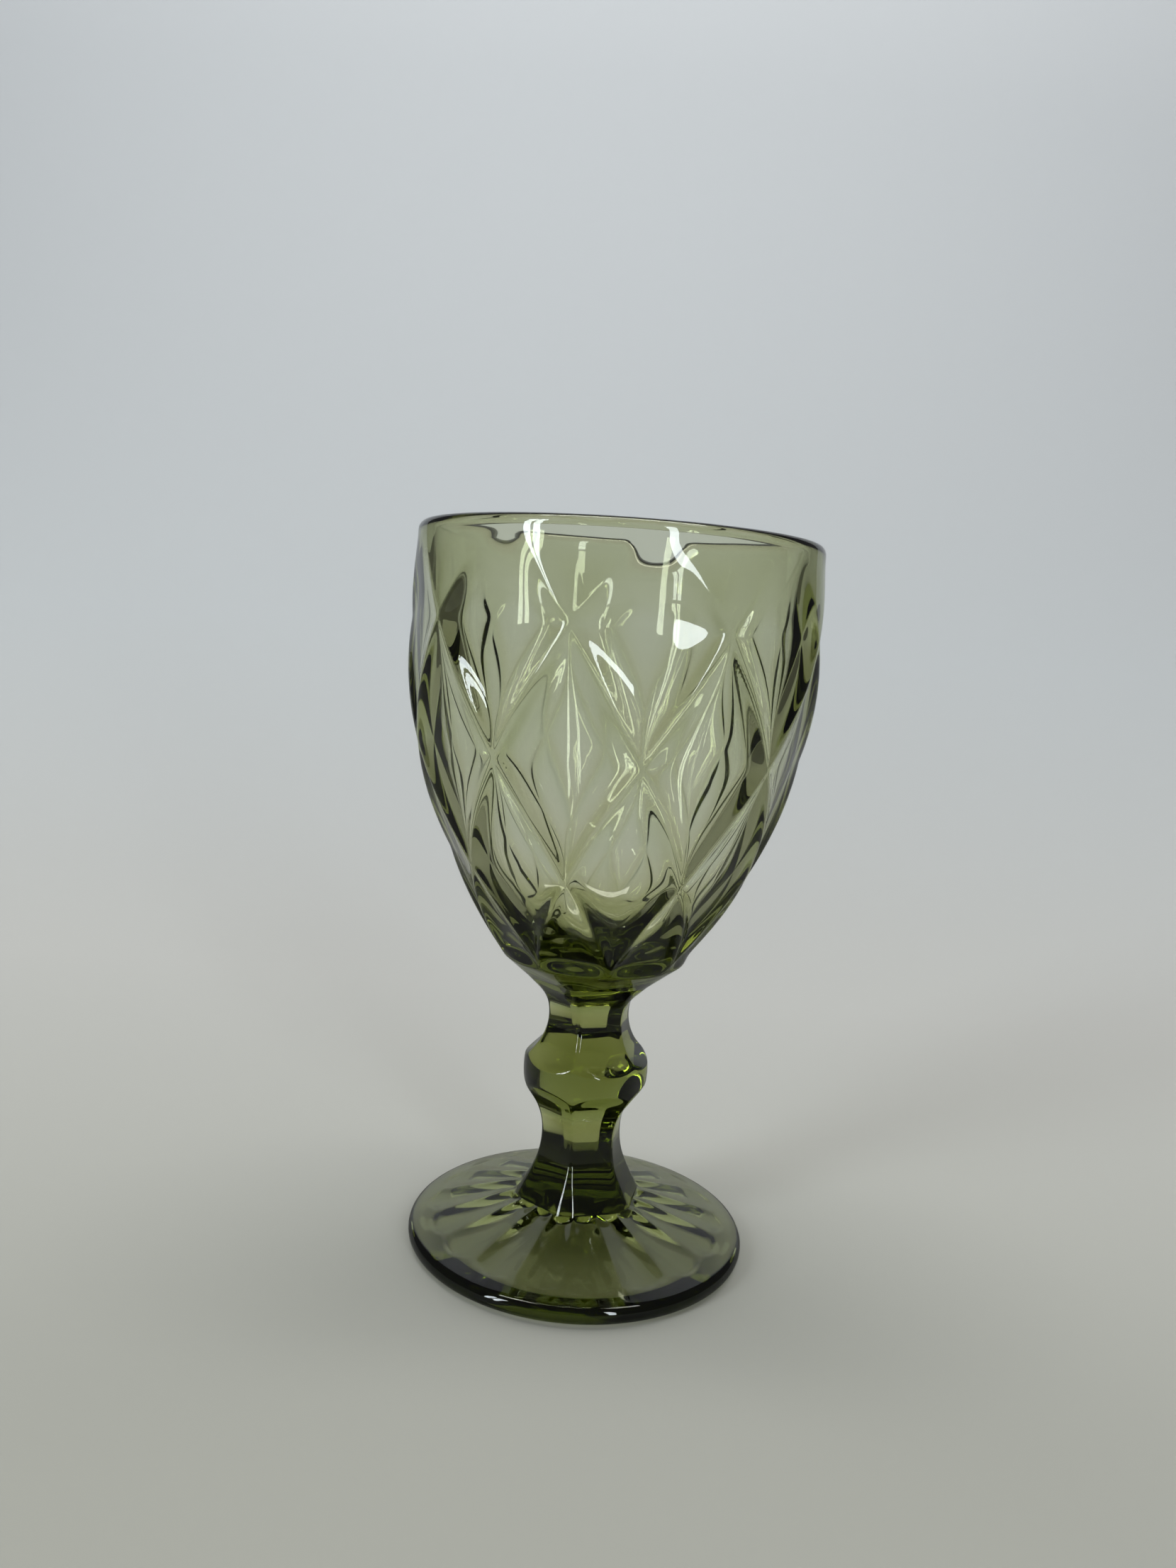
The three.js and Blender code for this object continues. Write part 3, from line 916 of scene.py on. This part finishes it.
def sweep_with_painted_light(stage):
    """Matt paint for the sweep with a painted gradient of light: painted shade at the camera's end of the
    floor, growing paler to painted light at the wall's top
    """
    material = bpy.data.materials.new("pale_sweep")
    material.use_nodes = True
    nodes, links = material.node_tree.nodes, material.node_tree.links
    surface = nodes["Principled BSDF"]
    surface.inputs["Roughness"].default_value = 0.9
    surface.inputs["Specular IOR Level"].default_value = 0.2
    place = nodes.new("ShaderNodeTexCoord")
    straighten = nodes.new("ShaderNodeMapping")
    straighten.inputs["Rotation"].default_value = (0, 0, -stage.camera_azimuth)
    split = nodes.new("ShaderNodeSeparateXYZ")
    along = nodes.new("ShaderNodeMath")
    along.operation = "ADD"
    shades = nodes.new("ShaderNodeValToRGB")
    stops = shades.color_ramp.elements
    # Places along the sweep, each a distance behind the goblet plus a height, where painted shade steps up
    # to painted light
    front, floor, wall, top = -0.12, 0.2, 1.0, 2.1
    levels = (
        (front, stage.front_painted_shade),
        (floor, stage.floor_colour),
        (wall, stage.wall_colour),
        (top, stage.wall_top_painted_light),
    )
    span = nodes.new("ShaderNodeMapRange")
    span.inputs["From Min"].default_value = front
    span.inputs["From Max"].default_value = top
    for number, (level, colour) in enumerate(levels):
        share = (level - front) / (top - front)
        if number == 0:
            stop = stops[0]
        elif number == len(levels) - 1:
            stop = stops[-1]
        else:
            stop = stops.new(share)
        stop.position = share
        stop.color = (*colour, 1)
    links.new(place.outputs["Object"], straighten.inputs["Vector"])
    links.new(straighten.outputs["Vector"], split.inputs["Vector"])
    links.new(split.outputs["Y"], along.inputs[0])
    links.new(split.outputs["Z"], along.inputs[1])
    links.new(along.outputs["Value"], span.inputs["Value"])
    links.new(span.outputs["Result"], shades.inputs["Fac"])
    # The ramp's painted light and shade become the sweep's colour
    links.new(shades.outputs["Color"], surface.inputs["Base Color"])
    return material


class GOBLET_OT_stage(bpy.types.Operator):
    """Adds the sweep, the lamps and the camera"""

    bl_idname = "goblet.stage"
    bl_label = "Stage"

    def execute(self, context):
        stage = context.scene.goblet_stage
        facing = Matrix.Rotation(stage.camera_azimuth, 4, "Z")
        self.add_sweep(stage, facing)
        self.add_lamps(stage, facing)
        self.light_the_room(context.scene, stage, facing)
        self.add_camera(context.scene, stage, facing)
        context.scene.view_settings.view_transform = "Standard"
        return {"FINISHED"}

    def add_sweep(self, stage, facing):
        """A floor that curves up into a wall behind the goblet"""
        start_fresh()
        bpy.ops.mesh.primitive_plane_add(size=1, location=(0, 0, 0))
        sweep = bpy.context.object
        sweep.name = "sweep"
        side, front, back, low = 1.0, -0.9, 1.2, -FLOOR_GAP
        wall_height, bend, bend_steps, near = 2.4, 0.8, 24, 0.1
        corners = [(-side, front, low), (side, front, low), (-side, back, low), (side, back, low)]
        sweep.data.vertices.foreach_set("co", np.array(corners, float).ravel())
        sweep.data.update()
        self.select_edges(sweep, lambda end: end.y > back - near)
        bpy.ops.mesh.extrude_edges_move(TRANSFORM_OT_translate={"value": (0, 0, wall_height)})
        self.select_edges(sweep, lambda end: end.y > back - near and end.z < near)
        bpy.ops.mesh.bevel(offset=bend, segments=bend_steps, affect="EDGES")
        bpy.ops.object.mode_set(mode="OBJECT")
        sweep.data.transform(facing)
        bpy.ops.object.shade_smooth()
        # The sweep's colour paints its light and shade: darker near the camera, paler up the wall
        sweep.data.materials.append(sweep_with_painted_light(stage))

    def select_edges(self, sweep, wanted):
        """Leaves the sweep in edit mode with only the edges selected whose two ends are wanted"""
        bpy.ops.object.mode_set(mode="EDIT")
        bpy.ops.mesh.select_mode(type="EDGE")
        bpy.ops.mesh.select_all(action="DESELECT")
        bpy.ops.object.mode_set(mode="OBJECT")
        for edge in sweep.data.edges:
            edge.select = all(wanted(sweep.data.vertices[end].co) for end in edge.vertices)
        bpy.ops.object.mode_set(mode="EDIT")

    def add_lamps(self, stage, facing):
        """Three tall window panes behind the camera, and a lamp that washes the wall"""
        goblet = (0.0, 0.0, 0.1)
        daylight, white = (0.88, 0.96, 1.0), (1.0, 1.0, 1.0)
        middle = 0.62
        panes = (
            ("left_window_pane", (-1.26, -1.00, middle), 0.12),
            ("left_window_second_pane", (-1.15, -1.12, middle), 0.12),
            ("right_window_pane", (0.72, -1.42, middle), 0.14),
        )
        for name, place, width in panes:
            size = (width, stage.window_height)
            self.add_lamp(name, facing, place, goblet, size, stage.window_light, daylight)
        over_the_goblet, wall = (0.0, 0.1, 1.9), (0.0, 1.2, 0.9)
        size = (1.6, 0.4)
        self.add_lamp("wall_wash", facing, over_the_goblet, wall, size, stage.wall_light, white)

    def add_lamp(self, name, facing, place, target, size, power, colour):
        """A lamp of a width and a height, aimed at its target; places are in the photograph's frame"""
        start_fresh()
        bpy.ops.object.light_add(type="AREA")
        lamp = bpy.context.object
        lamp.name = name
        lamp.data.shape = "RECTANGLE"
        lamp.data.size, lamp.data.size_y = size
        lamp.data.energy = power
        lamp.data.color = colour
        lamp.location = facing @ Vector(place)
        aim = facing @ Vector(target) - lamp.location
        lamp.rotation_euler = aim.to_track_quat("-Z", "Y").to_euler()

    def light_the_room(self, scene, stage, facing):
        """A room that lights the sweep from above, is pale past it, and is dim where the glass mirrors it"""
        world = bpy.data.worlds.new("room")
        scene.world = world
        world.use_nodes = True
        nodes, links = world.node_tree.nodes, world.node_tree.links
        air = nodes["Background"]
        air.inputs["Color"].default_value = (0.98, 1.0, 1.0, 1)
        place = nodes.new("ShaderNodeTexCoord")
        path = nodes.new("ShaderNodeLightPath")

        def towards(direction, turns, levels):
            """A level that changes from the first turn to the second, as the view nears a direction"""
            turn = nodes.new("ShaderNodeVectorMath")
            turn.operation = "DOT_PRODUCT"
            turn.inputs[1].default_value = facing @ Vector(direction)
            level = nodes.new("ShaderNodeMapRange")
            level.interpolation_type = "SMOOTHSTEP"
            for socket, value in zip(("From Min", "From Max", "To Min", "To Max"), (*turns, *levels)):
                level.inputs[socket].default_value = value
            links.new(place.outputs["Generated"], turn.inputs[0])
            links.new(turn.outputs["Value"], level.inputs["Value"])
            return level.outputs["Result"]

        def mixed(share, first, second):
            """The first level where the share is 0 and the second where it is 1 or more"""
            mix = nodes.new("ShaderNodeMix")
            links.new(share, mix.inputs["Factor"])
            for socket, level in (("A", first), ("B", second)):
                if isinstance(level, float):
                    mix.inputs[socket].default_value = level
                else:
                    links.new(level, mix.inputs[socket])
            return mix.outputs["Result"]

        # Two directions in the photograph's frame, and the dot products with the view between which the
        # level changes
        brightest = (0, math.sin(stage.ceiling_lean), math.cos(stage.ceiling_lean))
        brightest_turns = (0.15, 0.75)
        low_behind = (0, 1, -0.6)
        low_behind_turns = (0.3, 0.5)
        ceiling = towards(brightest, brightest_turns, (stage.room_light, stage.ceiling_light))
        beyond = towards(low_behind, low_behind_turns, (stage.background_light, stage.room_light))
        level = mixed(path.outputs["Is Camera Ray"], beyond, stage.background_light)
        level = mixed(path.outputs["Diffuse Depth"], level, ceiling)
        level = mixed(path.outputs["Glossy Depth"], level, stage.room_light)
        links.new(level, air.inputs["Strength"])

    def add_camera(self, scene, stage, facing):
        """The camera, from the photograph's place"""
        start_fresh()
        bpy.ops.object.camera_add()
        camera = bpy.context.object
        camera.name = "camera"
        turn, dip, roll = stage.camera_turn, stage.camera_dip, stage.camera_roll
        ahead = Vector((-math.sin(turn) * math.cos(dip), math.cos(turn) * math.cos(dip), -math.sin(dip)))
        right = Vector((math.cos(turn), math.sin(turn), 0))
        up = right.cross(ahead)
        side = math.cos(roll) * right + math.sin(roll) * up
        upright = math.cos(roll) * up - math.sin(roll) * right
        place = Vector((0, -stage.camera_distance, stage.camera_height))
        pose = Matrix((side, upright, -ahead)).transposed().to_4x4()
        pose.translation = place
        camera.matrix_world = facing @ pose
        camera.data.sensor_width = 36.0
        camera.data.lens = stage.focal_pixels / PICTURE_HEIGHT * camera.data.sensor_width
        camera.data.clip_start = 0.01
        scene.camera = camera


class GOBLET_PT_panel(bpy.types.Panel):
    """The goblet's pieces and their sizes"""

    bl_label = "Goblet"
    bl_idname = "GOBLET_PT_panel"
    bl_space_type = "VIEW_3D"
    bl_region_type = "UI"
    bl_category = "Goblet"

    def draw(self, context):
        for group in ("goblet_glass", "goblet_bowl", "goblet_stem", "goblet_foot", "goblet_stage"):
            box = self.layout.box()
            settings = getattr(context.scene, group)
            for name in settings.bl_rna.properties.keys():
                if name not in ("rna_type", "name"):
                    box.prop(settings, name)
        for operator in OPERATORS:
            self.layout.operator(operator.bl_idname)


OPERATORS = (
    GOBLET_OT_stage,
    GOBLET_OT_foot,
    GOBLET_OT_lower_stem,
    GOBLET_OT_knop,
    GOBLET_OT_upper_stem,
    GOBLET_OT_bowl,
)
SETTINGS = {
    "goblet_glass": GlassFinish,
    "goblet_bowl": BowlSizes,
    "goblet_stem": StemSizes,
    "goblet_foot": FootSizes,
    "goblet_stage": StageSetup,
}


def register():
    for settings in SETTINGS.values():
        bpy.utils.register_class(settings)
    for name, settings in SETTINGS.items():
        setattr(bpy.types.Scene, name, bpy.props.PointerProperty(type=settings))
    for item in (*OPERATORS, GOBLET_PT_panel):
        bpy.utils.register_class(item)


def unregister():
    for item in (GOBLET_PT_panel, *reversed(OPERATORS)):
        bpy.utils.unregister_class(item)
    for name, settings in SETTINGS.items():
        delattr(bpy.types.Scene, name)
        bpy.utils.unregister_class(settings)


def main():
    register()
    bpy.ops.goblet.stage()
    bpy.ops.goblet.foot()
    bpy.ops.goblet.lower_stem()
    bpy.ops.goblet.knop()
    bpy.ops.goblet.upper_stem()
    bpy.ops.goblet.bowl()


if __name__ == "__main__":
    main()
